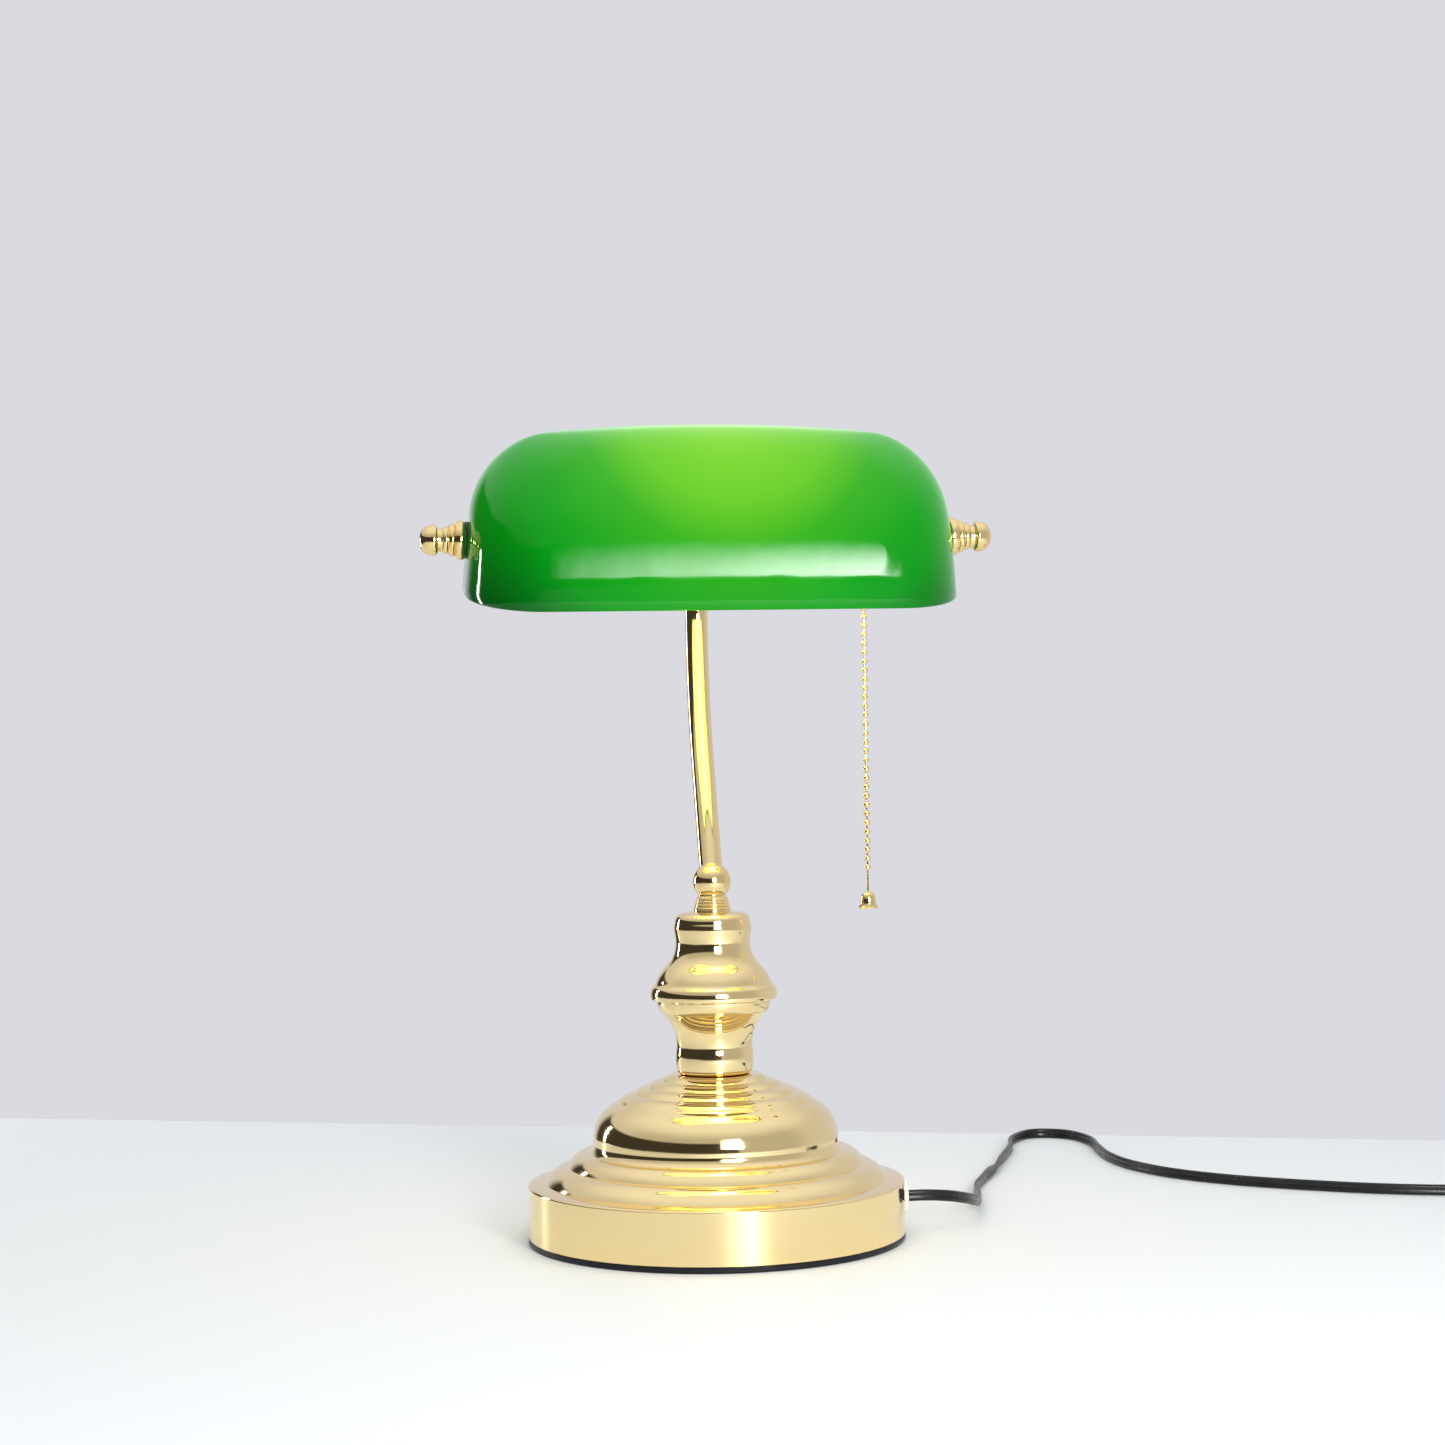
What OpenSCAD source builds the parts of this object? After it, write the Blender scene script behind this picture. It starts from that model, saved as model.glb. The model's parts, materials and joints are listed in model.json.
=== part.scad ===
// Banker desk lamp: round weighted base, turned column, bent stem, tilting glass
// shade on two knobs, pull-chain socket and a flat two-core mains cord.
// Millimetres, +Z up, +X to the right of the lamp, -Y to its front.
// The origin is at the centre of the base, on the surface that it stands on.

/* [Base] */
// Diameter of the straight band round the base
base_d = 176.4; // [170:0.2:182]
// Height of the band's upper edge above the table
band_h = 27.5; // [26:0.5:29]
// Thickness of the pad under the base
pad_t = 2.6; // [1.5:0.1:3]
// Thickness of the spun brass
brass_t = 1.1; // [0.8:0.1:1.2]
// Thickness of the steel plate that closes the base
plate_t = 1.6; // [1:0.1:2]

/* [Column] */
// Height at which the column stands on the base
column_z = 77.5; // [77:0.1:78]
// Outer diameter of the threaded lamp pipe
pipe_d = 9.7; // [9.5:0.1:9.8]
// Bore of the threaded lamp pipe
pipe_bore_d = 6.8; // [6:0.1:7]
// Diameter of the ball that holds the stem
ball_d = 17.8; // [17:0.1:18.5]

/* [Stem] */
// Outer diameter of the stem tube
stem_d = 11; // [10:0.1:11.5]
// Wall of the stem tube
stem_wall = 1; // [0.8:0.1:1.2]
// Angle at which the stem leaves the ball, back from upright
stem_lean = 26; // [25:0.5:27]
// Length of the straight run, from the ball's centre
stem_straight = 62; // [61:0.5:63]
// Radius of the long bend
stem_bend_r = 155; // [152:1:158]
// Radius of the short bend under the shade
stem_hook_r = 60; // [58:1:62]
// Angle at which the stem enters the hub, forward from upright
stem_hook = 28; // [27:0.5:29]

/* [Shade] */
// Length of the glass over its lower edge
shade_l = 228.6; // [227:0.2:230]
// Depth of the glass over its lower edge
shade_w = 133; // [130:0.5:135]
// Height of the knobs' axis above the table
axis_z = 328; // [327:0.5:329]
// Distance of the knobs' axis in front of the column
axis_front = 8; // [7:0.5:9]
// Depth of the lower edge below the knobs' axis
rim_drop = 24; // [23:0.5:25]
// Forward tilt of the shade at rest
shade_tilt = 10; // [8:0.5:12]
// Thickness of the glass
glass_t = 3.2; // [3:0.1:3.6]
// Inward slope of the end walls
end_slope = 5; // [4:0.5:6]

/* [Socket and bulb] */
// Outer diameter of the socket shell
socket_d = 34; // [33.6:0.2:34.4]
// Diameter of the bulb
bulb_d = 48; // [44:1:50]
// Distance of the bulb's centre to the right of the column
bulb_x = 8; // [6:1:10]

/* [Pull chain] */
// Distance of the chain to the right of the column
chain_x = 73; // [72:0.5:74]
// Diameter of a bead
bead_d = 3.1; // [3:0.1:3.2]
// Distance from bead to bead
bead_pitch = 4.2; // [4:0.1:4.4]

/* [Cord] */
// Width of the flat two-core cord
cord_d = 5.4; // [5:0.1:5.8]
// Height of the cord's exit above the table
exit_z = 16.5; // [16:0.5:17]

/* [Hidden] */
$fn = 72;

fit_gap = 0.05;
move_gap = 0.3;
base_r = base_d / 2;
pipe_r = pipe_d / 2;
socket_r = socket_d / 2;
bead_r = bead_d / 2;
cord_r = cord_d / 2;
axis_y = -axis_front;

// Inside of the base, from the pad up
plate_top = pad_t + plate_t;
weight_r = 70;
weight_step_z = 18;
weight_top_z = 28;
pocket_r = 20;
pocket_top_z = 22;
nut_h = 5;
washer_h = 1.2;
pipe_bottom_z = 13.5;
bushing_r = 6;

// Column and stem joints
collar_z = 153.7;
collar_thread_h = 7.3;
ball_z = 167.4;
stem_start = 1.5;
bow_p = [stem_straight * sin(stem_lean) + stem_bend_r * (1 - cos(stem_lean)),
         ball_z + stem_straight * cos(stem_lean) + stem_bend_r * sin(stem_lean)];
stem_end_p = bow_p + stem_hook_r * [cos(stem_hook) - 1, sin(stem_hook)];
hub_r = 11;
hub_p = stem_end_p + 7 * [-sin(stem_hook), cos(stem_hook)];
hub_l = 24;
stem_insert = 3;

// Arm behind the bulb, a bent strip
strip_t = 2.5;
screw_x = 8;
screw_r = 2;
screw_l = 8;
screw_z = axis_z - 1.5;
strip_h = 12;
arm_x = 98;
arm_back_y = hub_p[0] - 9;
arm_hole_clear = 0.1;

// Shade, in its own frame with the knobs' axis along X through the origin.
// The roof rounds over in corner_x and corner_y; plan_x and plan_y round the four corners.
crown_h = 7.1;
corner_x = 36;
corner_y = 60;
plan_x = 34;
plan_y = 56;
side_h = rim_drop + 45.4;
side_slope = 0.02;
end_in = rim_drop * tan(end_slope);
wall_x = shade_l / 2 - end_in;
glass_hole_r = 6.3;
sleeve_r = 6.2;
gasket_r = 8.5;
gasket_t = 1;
gasket_face_x = wall_x + gasket_t;
knob_face_x = gasket_face_x + move_gap;
nut_face_x = arm_x + strip_t + 3;
pivot_bore_r = pipe_r + fit_gap;

// Socket along X, from its open end to its cap
socket_open_x = 38;
cap_x = 79;
cap_end_x = arm_x;
bulb_tip_x = 58.6;
bulb_neck_x = 37;
bulb_base_r = 13.1;
bulb_wall = 1;

// Chain levels
slider_z = 316;
nozzle_bottom_z = 303;
nozzle_bore_r = 2.6;
top_pivot_z = 299.1;
top_beads = 3;
upper_beads = 15;
lower_beads = 16;
chain_wire_r = 0.45;
mid_pivot_z = top_pivot_z - upper_beads * bead_pitch - 0.2;
link_gap = 0.2;
bell_top_z = 161.5;

// Route of the cord, from the bushing to the coil and from the coil to the plug
lead_route = [
  [90.4, 0, 16.5], [100, 0, 16.5], [111, 3, 15.3], [121, 12, 12.5], [129, 26, 9],
  [135, 44, 5.6], [140, 64, 3.6], [144, 85, 2.8], [148, 104, 2.8], [164, 145, 2.8],
  [182, 192, 2.8], [194, 225, 2.8], [202, 254, 2.8], [218, 275, 2.8],
  [237, 268, 2.8], [244, 242, 2.8], [241, 212, 2.8], [239, 182, 2.8],
  [243, 150, 2.8], [257, 118, 2.8], [281, 90, 2.8], [313, 66, 2.8],
  [346, 47, 2.8], [380, 35, 2.8], [408, 32.6, 2.8]
];
plug_x = 457;
plug_y = -50;
tail_route = [[plug_x, -14, 8.1], [plug_x, -22, 6.9], [plug_x, -32, 4.8], [plug_x, -44, 3.2],
              [plug_x, -52, 3]];
inner_route = [
  [83, 0, 16.5], [72, 0, 13], [56, 0, 8.6], [38, 0, 7.2], [22, 0, 7], [11, 0, 7.2],
  [4, 0, 9], [0.7, 0, 13.5], [0, 0, 20], [0, 0, 90], [0, 0, 158], [0, 0.8, 166],
  [0, 5, 177], [0, 13, 194], [0, 27.2, 223], [0, 37, 252], [0, 42, 275], [0, 42.8, 296],
  [0, 39, 311], [0, 32.7, 325], [1.5, 27.4, 335.5], [8, 24.5, 338.5], [20, 23, 339],
  [45, 22, 339], [68, 20, 339], [81, 15, 339], [88.6, 7, 336], [89.2, 1.8, 332.2]
];
lead_r = 1.9;
coil_c = [420, -5];
coil_in_r = 17;
coil_out_r = 40.3;
coil_h = 11.2;
blade_x = 6.35;

// Points between p and q along an arc that stands s proud of the straight line
function bulge(p, q, s, n = 6) =
  let(d = q - p, side = [d[1], -d[0]] / norm(d))
  [for (i = [0:n - 1]) let(t = i / n) p + d * t + side * 4 * s * t * (1 - t)];

// Points on a circle about c from angle a0 to a1
function arc(c, r, a0, a1, n = 8) =
  [for (i = [0:n]) let(a = a0 + (a1 - a0) * i / n) c + r * [cos(a), sin(a)]];

// The same outline, moved by d to its left
function left_of(a, b) = [a[1] - b[1], b[0] - a[0]] / norm(b - a);
function inset(pts, d) =
  let(last = len(pts) - 1)
  [for (i = [0:last])
    let(n1 = left_of(pts[max(i - 1, 0)], pts[max(i, 1)]),
        n2 = left_of(pts[min(i, last - 1)], pts[min(i + 1, last)]),
        m = (n1 + n2) / norm(n1 + n2))
    pts[i] + m * d / max(0.6, m * n1)];
function reversed(pts) = [for (i = [len(pts) - 1:-1:0]) pts[i]];
function skin(pts, t) = concat(pts, reversed(inset(pts, t)));

// A smooth curve through every point of a route, steps points to a span
function pick(r, i) = r[min(max(i, 0), len(r) - 1)];
function curve_point(r, i, t) =
  let(a = pick(r, i - 1), b = pick(r, i), c = pick(r, i + 1), d = pick(r, i + 2))
  0.5 * ((2 * b) + (c - a) * t + (2 * a - 5 * b + 4 * c - d) * t * t
         + (3 * b - a - 3 * c + d) * t * t * t);
function curve(r, steps) =
  concat([for (i = [0:len(r) - 2]) for (k = [0:steps - 1]) curve_point(r, i, k / steps)],
         [r[len(r) - 1]]);

// A tube of radius rad with sides faces along the points p
module tube(p, rad, sides) {
  last = len(p) - 1;
  dirs = [for (i = [0:last]) let(d = p[min(i + 1, last)] - p[max(i - 1, 0)]) d / norm(d)];
  rings = [for (i = [0:last])
    let(ref = abs(dirs[i][2]) > 0.8 ? [0, 1, 0] : [0, 0, 1],
        side = cross(dirs[i], ref) / norm(cross(dirs[i], ref)),
        up = cross(dirs[i], side))
    [for (k = [0:sides - 1]) let(a = 360 * (k + 0.5) / sides)
      p[i] + rad * (cos(a) * side + sin(a) * up)]];
  // Each ring starts at its point nearest to the start of the ring before
  shifts = ring_shifts(rings, sides);
  polyhedron(
    points = [for (i = [0:last]) for (k = [0:sides - 1]) rings[i][(k + shifts[i]) % sides]],
    faces = concat(
      [[for (k = [0:sides - 1]) k]],
      [for (i = [0:last - 1]) for (k = [0:sides - 1]) let(n = (k + 1) % sides)
        [i * sides + k, (i + 1) * sides + k, (i + 1) * sides + n]],
      [for (i = [0:last - 1]) for (k = [0:sides - 1]) let(n = (k + 1) % sides)
        [i * sides + k, (i + 1) * sides + n, i * sides + n]],
      [[for (k = [sides - 1:-1:0]) last * sides + k]]));
}
function nearest(p, ring) =
  let(d = [for (q = ring) norm(q - p)], m = min(d)) search(m, d)[0];
function ring_shifts(rings, sides, i = 0, out = []) =
  i == len(rings) ? out
  : let(s = i == 0 ? 0 : nearest(rings[i - 1][out[i - 1] % sides], rings[i]))
    ring_shifts(rings, sides, i + 1, concat(out, [s]));

// Turns a profile of [distance along the axis, radius] points about the knobs' axis
module on_axis() {
  translate([0, axis_y, axis_z]) rotate([0, 90, 0]) children();
}
module lathe(pts) {
  rotate_extrude() polygon(pts);
}
module ring(r_out, r_in, h) {
  difference() {
    cylinder(r = r_out, h = h);
    translate([0, 0, -1]) cylinder(r = r_in, h = h + 2);
  }
}
module in_shade() {
  translate([0, axis_y, axis_z]) rotate([shade_tilt, 0, 0]) children();
}
module both_ends(side) {
  if (side > 0) children();
  else mirror([1, 0, 0]) children();
}

// ---- Base ----
shell_line = concat(
  [[base_r - 0.3, pad_t + 0.2], [base_r, pad_t + 0.5], [base_r, band_h - 1]],
  arc([base_r - 1.2, band_h - 1.2], 1.2, 10, 80, 4),
  [[base_r - 4, band_h + 0.3]],
  bulge([base_r - 8, band_h + 0.9], [69.5, 35.6], 1.7),
  bulge([69.5, 35.6], [59.6, 42], 1.9),
  bulge([59.6, 42], [57.6, 46.2], -0.5, 4),
  bulge([57.6, 46.2], [45.8, 65], 3.6, 12),
  bulge([45.8, 65], [38.6, 68.8], 0.9, 5),
  bulge([38.6, 68.8], [31.6, 72], 0.8, 5),
  bulge([31.6, 72], [25, 74.8], 0.8, 5),
  bulge([25, 74.8], [19.2, 77.5], 0.7, 4),
  [[19.2, 77.5], [pipe_r + 0.3, 77.5]]);

module base_pad() {
  color("#15161a") lathe([[0, 0], [base_r - 0.6, 0], [base_r + 0.1, 0.7], [base_r + 0.1, pad_t - 0.5],
                          [base_r - 0.4, pad_t], [0, pad_t]]);
}
module base_plate() {
  color("silver") translate([0, 0, pad_t]) ring(base_r - brass_t - 0.3, pocket_r - 6, plate_t);
}
module base_weight() {
  color("dimgray") difference() {
    lathe([[0, plate_top], [weight_r, plate_top], [weight_r, weight_step_z - 2],
           [weight_r - 2, weight_step_z], [30, weight_step_z], [29, weight_top_z], [0, weight_top_z]]);
    translate([0, 0, plate_top - 1]) cylinder(r = pocket_r, h = pocket_top_z - plate_top + 1);
    cylinder(r = pipe_r + 0.3, h = weight_top_z + 1);
    translate([0, -5, plate_top - 1]) cube([weight_r + 1, 10, 15.5 - plate_top]);
  }
}
module base_shell() {
  color("#d9b765") difference() {
    lathe(skin(shell_line, brass_t));
    translate([base_r - 12, 0, exit_z]) rotate([0, 90, 0]) cylinder(r = bushing_r + 0.1, h = 20);
  }
}
module cord_bushing() {
  color("ivory") translate([0, 0, exit_z]) rotate([0, 90, 0]) difference() {
    rotate_extrude() polygon([[0, base_r - 5], [7.6, base_r - 5], [8, base_r - 4.4], [8, base_r - 2.2],
                              [bushing_r, base_r - 1.9], [bushing_r, base_r + 0.05], [9, base_r + 0.05],
                              [9.2, base_r + 1], [8.4, base_r + 1.9], [6.4, base_r + 2.2],
                              [0, base_r + 2.2]]);
    translate([-cord_r - 0.1, -1.5, base_r - 6]) cube([cord_d + 0.2, 3, 10]);
  }
}

// ---- Column ----
module pipe_nut() {
  color("silver") translate([0, 0, pocket_top_z - washer_h - nut_h]) difference() {
    cylinder(r = 8.2, h = nut_h, $fn = 6);
    translate([0, 0, -1]) cylinder(r = pipe_r + fit_gap, h = nut_h + 2);
  }
}
module pipe_washer() {
  color("silver") translate([0, 0, pocket_top_z - washer_h]) ring(12, pipe_r + 0.2, washer_h);
}
module lamp_pipe() {
  color("silver") translate([0, 0, pipe_bottom_z])
    ring(pipe_r, pipe_bore_d / 2, collar_z + collar_thread_h - 0.4 - pipe_bottom_z);
}
lower_line = concat(
  [[pipe_r + 0.3, column_z]],
  bulge([15.6, column_z], [18.1, 80.6], 0.8, 4),
  bulge([18.1, 80.6], [17.9, 90], 0.35, 5),
  bulge([17.9, 90], [25.2, 106.6], -2.2, 10),
  bulge([25.2, 106.6], [26.9, 111.4], 0.3, 3),
  [[26.9, 111.4], [26.9, 117.6]]);
upper_line = concat(
  [[29.1, 112.5]],
  bulge([29.7, 113], [28.9, 118.6], 0.5, 4),
  bulge([28.9, 118.6], [27.2, 120.6], -0.2, 3),
  bulge([27.2, 120.6], [22.4, 128], 0.5, 5),
  bulge([22.4, 128], [17.6, 139], -1.2, 8),
  bulge([17.6, 139], [18.3, 145], -0.1, 4),
  bulge([18.3, 145], [17.8, 148.6], 0.2, 4),
  arc([13.6, 148.8], 4.2, 0, 70, 5),
  [[10, 153.7], [pipe_r + 0.3, 153.7]]);
module column_lower() {
  color("#d9b765") lathe(skin(lower_line, brass_t));
}
module column_upper() {
  color("#d9b765") lathe(skin(upper_line, brass_t));
}
rib_pitch = 1.5;
collar_line = concat(
  [[8.7, collar_z]],
  [for (i = [0:3]) for (p = bulge([8.5 - 0.42 * i, collar_z + 0.6 + rib_pitch * i],
                                  [8.1 - 0.42 * i, collar_z + 0.6 + rib_pitch * (i + 1)], 0.42, 4)) p],
  [[6.7, collar_z + 6.9], [6.6, collar_z + 7.8]],
  arc([0, ball_z], ball_d / 2, -42, 90, 22));
module stem_collar() {
  color("#dcbb6c") difference() {
    lathe(concat(collar_line, [[0, collar_z]]));
    translate([0, 0, collar_z - 1]) cylinder(r = pipe_r + fit_gap, h = collar_thread_h + 1);
    cylinder(r = pipe_bore_d / 2, h = ball_z + 2.5);
    translate([0, 0, ball_z]) rotate([-stem_lean, 0, 0]) translate([0, 0, stem_start - 0.1])
      cylinder(r = stem_d / 2 + fit_gap, h = ball_d);
  }
}

// ---- Stem and arm ----
// Points along the middle of the stem, reaching extra past both of its ends
function stem_path(extra) = concat(
  [for (d = [stem_start - extra, 20, 40]) [0, d * sin(stem_lean), ball_z + d * cos(stem_lean)]],
  [for (i = [0:8]) let(w = stem_lean * (1 - i / 8))
    [0, bow_p[0] - stem_bend_r * (1 - cos(w)), bow_p[1] - stem_bend_r * sin(w)]],
  [for (i = [1:5]) let(w = stem_hook * i / 5)
    [0, bow_p[0] - stem_hook_r * (1 - cos(w)), bow_p[1] + stem_hook_r * sin(w)]],
  [let(d = stem_insert + extra) [0, stem_end_p[0] - d * sin(stem_hook), stem_end_p[1] + d * cos(stem_hook)]]);
module stem_tube() {
  color("#d9b765") difference() {
    tube(stem_path(0), stem_d / 2, 24);
    tube(stem_path(1), stem_d / 2 - stem_wall, 24);
  }
}
module arm_hub() {
  color("#d9b765") difference() {
    translate([-hub_l / 2, hub_p[0], hub_p[1]]) rotate([0, 90, 0]) cylinder(r = hub_r, h = hub_l);
    translate([-hub_l, arm_back_y - 20, 0]) cube([2 * hub_l, 20, 2 * axis_z]);
    translate([0, stem_end_p[0], stem_end_p[1]]) rotate([stem_hook, 0, 0]) {
      translate([0, 0, -hub_r]) cylinder(r = stem_d / 2 + fit_gap, h = hub_r + stem_insert + 0.1);
      cylinder(r = 3.4, h = 3 * hub_r);
    }
    for (x = [-screw_x, screw_x]) translate([x, arm_back_y - 1, screw_z]) rotate([-90, 0, 0])
      cylinder(r = screw_r + fit_gap, h = screw_l + 1.2);
  }
}
module hub_screws() {
  color("silver") for (x = [-screw_x, screw_x]) translate([x, arm_back_y, screw_z]) {
    rotate([-90, 0, 0]) cylinder(r = screw_r, h = screw_l);
    translate([0, -strip_t - 1.6, 0]) rotate([-90, 0, 0]) difference() {
      cylinder(r = 3.4, h = 1.6);
      translate([-4, -0.5, -0.1]) cube([8, 1, 0.8]);
    }
    translate([0, -strip_t - 0.2, 0]) rotate([-90, 0, 0]) cylinder(r = screw_r, h = strip_t + 0.4);
  }
}
module shade_arm() {
  arm_front_y = axis_y - 9;
  color("#cfae60") difference() {
    translate([-arm_x - strip_t, arm_front_y, axis_z - strip_h / 2])
      cube([2 * (arm_x + strip_t), arm_back_y - arm_front_y, strip_h]);
    translate([-arm_x, arm_front_y - 1, axis_z - strip_h])
      cube([2 * arm_x, arm_back_y - strip_t - arm_front_y + 1, 2 * strip_h]);
    on_axis() translate([0, 0, -2 * arm_x]) cylinder(r = pipe_r + arm_hole_clear, h = 4 * arm_x);
    for (x = [-screw_x, screw_x]) translate([x, arm_back_y - strip_t - 1, screw_z]) rotate([-90, 0, 0])
      cylinder(r = screw_r + fit_gap, h = strip_t + 2);
  }
}
module pivot_pipe(side) {
  inner_x = side > 0 ? cap_end_x - 8 : arm_x - 4;
  color("silver") both_ends(side) on_axis() translate([0, 0, inner_x])
    ring(pipe_r, pipe_bore_d / 2, knob_face_x + 8.8 - inner_x);
}
module pivot_nuts() {
  color("silver") for (side = [-1, 1]) both_ends(side) on_axis()
    translate([0, 0, arm_x + strip_t]) hex_nut(3);
  color("silver") both_ends(-1) on_axis() translate([0, 0, arm_x - 3]) hex_nut(3);
}
module hex_nut(h) {
  difference() {
    cylinder(r = 8, h = h, $fn = 6);
    translate([0, 0, -1]) cylinder(r = pipe_r + fit_gap, h = h + 2);
  }
}

// ---- Shade ----
// One level of the glass: a rectangle with elliptical corners, arched up towards the middle
around = 14;
function arch(x, y, z) =
  crown_h * pow(z / side_h, 2) * (1 - pow(2 * x / shade_l, 2) - 0.3 * pow(2 * y / shade_w, 2));
function level(z, a, b, rx, ry) =
  [for (q = [0:3]) for (i = [0:around - 1])
    let(w = 90 * q + 90 * i / (around - 1), cx = (q == 0 || q == 3) ? 1 : -1, cy = q < 2 ? 1 : -1,
        x = cx * (a - rx) + rx * cos(w), y = cy * (b - ry) + ry * sin(w))
    [x, y, z - rim_drop + arch(x, y, z)]];
// Half depth of the glass at height z above its lower edge
function half_depth(z, b0, top, ry) =
  let(k = max(0, z - (top - ry)) / ry)
  b0 - ry * (1 - sqrt(max(0, 1 - k * k))) - z * side_slope;
// Levels from the lower edge to the crown, for the glass set in by t
function glass_levels(t) =
  let(a0 = shade_l / 2 - t, b0 = shade_w / 2 - t, top = side_h - t, rx = corner_x - t, ry = corner_y - t,
      wall_h = top - rx, a1 = a0 - wall_h * tan(end_slope), n = 9, m = 4, px = plan_x - t, py = plan_y - t,
      flat_a = a1 - rx, flat_b = half_depth(top, b0, top, ry))
  concat(
    [for (i = [0:4]) let(z = wall_h * i / 5)
      level(z, a0 - z * tan(end_slope), half_depth(z, b0, top, ry), px, py)],
    [for (i = [0:n]) let(w = 90 * i / n, z = wall_h + rx * sin(w), b = half_depth(z, b0, top, ry))
      level(z, a1 - rx * (1 - cos(w)), b, px, min(py, b - 0.4))],
    [for (i = [1:m - 1]) let(s = 1 - i / m)
      level(top, flat_a * s, flat_b * s, px * s, (flat_b - 0.4) * s)]);
// A solid of the glass's outer shape set in by t, reaching drop below its lower edge
module glass_solid(t, drop) {
  lv = glass_levels(t);
  n = 4 * around;
  k = len(lv);
  pts = concat([for (p = lv[0]) [p[0], p[1], p[2] - drop]], [for (i = [0:k - 1]) for (p = lv[i]) p],
               [[0, 0, side_h - t - rim_drop + arch(0, 0, side_h - t)]]);
  polyhedron(points = pts, faces = concat(
    [[for (j = [0:n - 1]) j]],
    [for (i = [0:k - 1]) for (j = [0:n - 1]) let(w = (j + 1) % n)
      [i * n + j, (i + 1) * n + j, (i + 1) * n + w]],
    [for (i = [0:k - 1]) for (j = [0:n - 1]) let(w = (j + 1) % n)
      [i * n + j, (i + 1) * n + w, i * n + w]],
    [for (j = [0:n - 1]) [k * n + j, (k + 1) * n, k * n + (j + 1) % n]]));
}
module shade_glass() {
  color("green") in_shade() difference() {
    glass_solid(0, 0.01);
    glass_solid(glass_t, 2);
    rotate([0, 90, 0]) translate([0, 0, -shade_l]) cylinder(r = glass_hole_r, h = 2 * shade_l);
  }
}
// Everything outside (or, with inside = true, inside) the sloping end wall at depth t
module end_cut(t) {
  translate([wall_x - t, 0, 0]) rotate([0, -end_slope, 0]) translate([-40, -20, -20]) cube([40, 40, 40]);
}
module gasket(side) {
  color("#1b1b1b") both_ends(side) in_shade() difference() {
    union() {
      difference() {
        rotate([0, 90, 0]) translate([0, 0, wall_x - 3]) cylinder(r = gasket_r, h = gasket_t + 3);
        end_cut(-0.05);
      }
      rotate([0, 90, 0]) translate([0, 0, wall_x - glass_t - 0.5]) cylinder(r = sleeve_r, h = glass_t + gasket_t);
    }
    rotate([0, 90, 0]) cylinder(r = pivot_bore_r, h = shade_l);
  }
}
module inner_washer(side) {
  color("#1b1b1b") both_ends(side) in_shade() difference() {
    intersection() {
      rotate([0, 90, 0]) translate([0, 0, nut_face_x + move_gap]) cylinder(r = gasket_r, h = 8);
      end_cut(glass_t + 0.05);
    }
    rotate([0, 90, 0]) cylinder(r = sleeve_r + 0.1, h = shade_l);
  }
}
knob_line = concat(
  [[0, 0]], bulge([8.5, 0], [8.6, 4.1], 0.6, 6),
  [[8.6, 4.1]], bulge([7, 4.3], [6.9, 7.4], 0.65, 5),
  bulge([6.1, 7.6], [5.9, 10.1], 0.45, 5),
  [[5.5, 10.3], [5.4, 11.5], [5.6, 12.5]],
  bulge([5.9, 12.6], [7.2, 13.8], 0.3, 4),
  bulge([7.2, 13.8], [7.1, 15.3], 0.15, 3),
  arc([1.3, 15], 5.8, 4, 84, 9), [[0, 20.8]]);
module knob(side) {
  color("#dcbb6c") both_ends(side) on_axis() translate([0, 0, knob_face_x]) difference() {
    lathe(knob_line);
    translate([0, 0, -1]) cylinder(r = pivot_bore_r, h = 10.2);
  }
}

// ---- Socket and bulb, along the knobs' axis ----
module chain_hole(r, depth) {
  translate([chain_x, axis_y, axis_z - socket_r - 5]) cylinder(r = r, h = depth + 5);
}
module socket_cap() {
  color("#d9b765") difference() {
    on_axis() lathe([[17.1, cap_x], [17.9, cap_x], [17.9, cap_x + 8], [17.2, cap_x + 10],
                     [14.5, cap_x + 12.6], [9.5, cap_x + 14.6], [8, cap_x + 15.4], [8, cap_end_x],
                     [pipe_r + fit_gap, cap_end_x],
                     [pipe_r + fit_gap, cap_x + 14], [9.2, cap_x + 13.8], [14, cap_x + 11.8],
                     [16.4, cap_x + 9.6], [17.1, cap_x + 8]]);
    translate([89, axis_y + 10, axis_z + 4.4]) rotate([-52, -8, 0]) cylinder(r = 2.9, h = 14, center = true);
  }
}
module socket_shell() {
  color("#d9b765") difference() {
    on_axis() lathe([[16.4, socket_open_x + 0.6], [16.7, socket_open_x], [17.2, socket_open_x + 0.5],
                     [17, socket_open_x + 1.4], [17, cap_x + 7], [16.4, cap_x + 7]]);
    chain_hole(3.5, 6);
  }
}
module socket_liner() {
  color("tan") difference() {
    on_axis() translate([0, 0, socket_open_x + 1]) ring(16.2, 15.4, cap_x + 5 - socket_open_x);
    chain_hole(3.5, 6);
  }
}
module socket_body() {
  color("#2a2220") difference() {
    on_axis() difference() {
      translate([0, 0, bulb_tip_x + 2.2]) cylinder(r = 15.2, h = cap_x + 5 - bulb_tip_x - 2.2);
      translate([0, 0, bulb_tip_x]) cylinder(r = 3.2, h = 5);
    }
    chain_hole(nozzle_bore_r, 17);
  }
}
module socket_thread() {
  color("silver") on_axis() translate([0, 0, socket_open_x + 2]) ring(14.7, 13.5, 20.6);
}
module socket_contact() {
  color("#d9b765") on_axis() translate([0, 0, bulb_tip_x + 0.3]) cylinder(r = 3, h = 4.6);
}
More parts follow.
